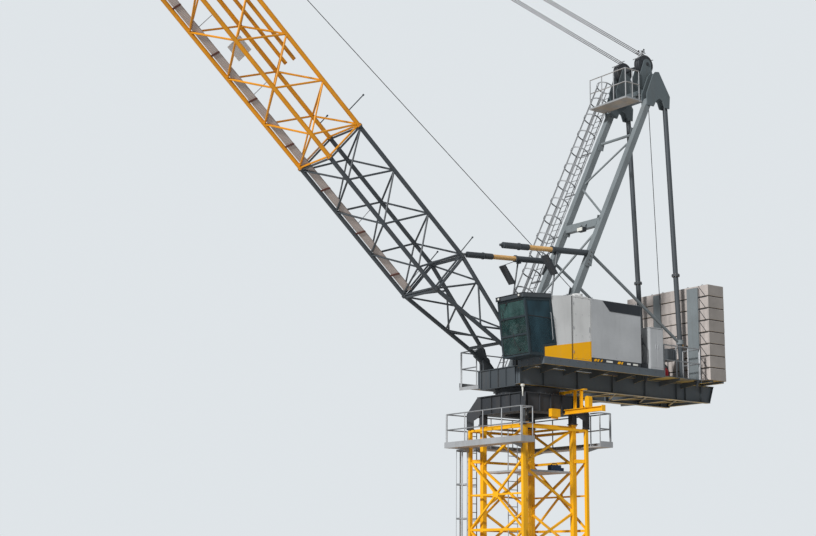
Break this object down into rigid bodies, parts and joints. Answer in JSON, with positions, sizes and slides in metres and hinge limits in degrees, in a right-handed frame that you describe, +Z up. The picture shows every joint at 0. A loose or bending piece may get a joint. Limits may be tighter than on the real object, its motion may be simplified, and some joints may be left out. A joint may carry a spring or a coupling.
{
  "type": "tower crane",
  "caption": "Luffing-jib tower crane with a lattice mast, climbing frame, slewing platform, side cab, ballast stack, A-frame and raised lattice jib.",
  "frame": {"origin": "on the ground at the mast's axis, under the crossed base beams", "axes": "+Z up along the mast, the jib reaching towards -X and the cab on the -Y side"},
  "size_m": [28.9321, 5.1422, 37.1848],
  "materials": {
    "tower_yellow": "semi_gloss",
    "climbing_yellow": "semi_gloss",
    "jib_yellow": "semi_gloss",
    "slate_paint": "semi_gloss",
    "dark_steel": "satin",
    "galvanised": "matte",
    "pale_panel": "satin",
    "housing_grey": "satin",
    "window_glass": "gloss",
    "seat_cloth": "matte",
    "winch_red": "semi_gloss",
    "concrete": "matte",
    "grating": "matte",
    "wire_rope": "matte"
  },
  "bodies": {
    "tower": {"base_frame": "tower_yellow", "mast_section_1": "tower_yellow", "mast_section_2": "tower_yellow", "mast_section_3": "tower_yellow", "mast_section_4": "tower_yellow", "mast_ladder": "galvanised", "mast_platforms": "dark_steel", "climbing_frame": "climbing_yellow", "climbing_walkway": "galvanised", "climbing_railing": "galvanised", "access_ladder": "galvanised", "support_box": "dark_steel", "fixed_race": "dark_steel", "monorail": "climbing_yellow"},
    "upper": {"turning_race": "dark_steel", "turntable": "slate_paint", "main_girders": "slate_paint", "near_deck": "slate_paint", "far_walkway": "galvanised", "near_railing": "galvanised", "far_railing": "galvanised", "cab_shell": "slate_paint", "cab_glass": "window_glass", "cab_roof": "slate_paint", "cab_seat": "seat_cloth", "front_cabinets": "pale_panel", "machine_housing": "housing_grey", "side_plate": "slate_paint", "control_cabinet": "housing_grey", "hoist_winch": "winch_red", "luffing_winch": "dark_steel", "ballast_blocks": "concrete", "ballast_frames": "slate_paint", "ballast_seat": "slate_paint", "front_legs": "slate_paint", "rear_struts": "slate_paint", "head_plates": "slate_paint", "head_sheaves": "dark_steel", "head_platform": "galvanised", "leg_ladder": "galvanised", "wind_mast": "galvanised", "backstop_tubes": "slate_paint", "backstop_props": "slate_paint", "luffing_ropes": "wire_rope", "hoist_rope": "wire_rope"},
    "backstops": {"backstop_rods": "jib_yellow", "backstop_sleeves": "slate_paint"},
    "jib": {"jib_heel": "slate_paint", "jib_dark_section": "slate_paint", "jib_middle_section": "jib_yellow", "jib_outer_section": "jib_yellow", "jib_tip": "jib_yellow", "tip_sheaves": "dark_steel", "jib_walkway": "grating", "stowed_bars": "jib_yellow"},
    "hook": {"hook_falls": "wire_rope", "hook_block": "jib_yellow"}
  },
  "joints": [
    {"name": "slew", "type": "hinge", "parent": "tower", "child": "upper", "pos_m": [0, 0, 18.28], "axis": [0, 0, 1], "continuous": true},
    {"name": "luff", "type": "hinge", "parent": "upper", "child": "jib", "pos_m": [-1.17, 0, 19.238], "axis": [0, 1, 0], "range_deg": [-26.4, 34.6], "deforming": ["luffing_ropes", "hoist_rope"]},
    {"name": "backstop_slide", "type": "slide", "parent": "upper", "child": "backstops", "axis": [0.998, 0, 0.0638], "range_m": [-0.585, 0.765]},
    {"name": "hook_swing", "type": "hinge", "parent": "jib", "child": "hook", "pos_m": [-20.64379, 0, 35.40661], "axis": [0, 1, 0], "range_deg": [-34.6, 26.4]}
  ],
  "couplings": [
    {"joint": "backstop_slide", "follows": "luff", "m_per_rad": 1.26},
    {"joint": "hook_swing", "follows": "luff", "ratio": -1}
  ]
}
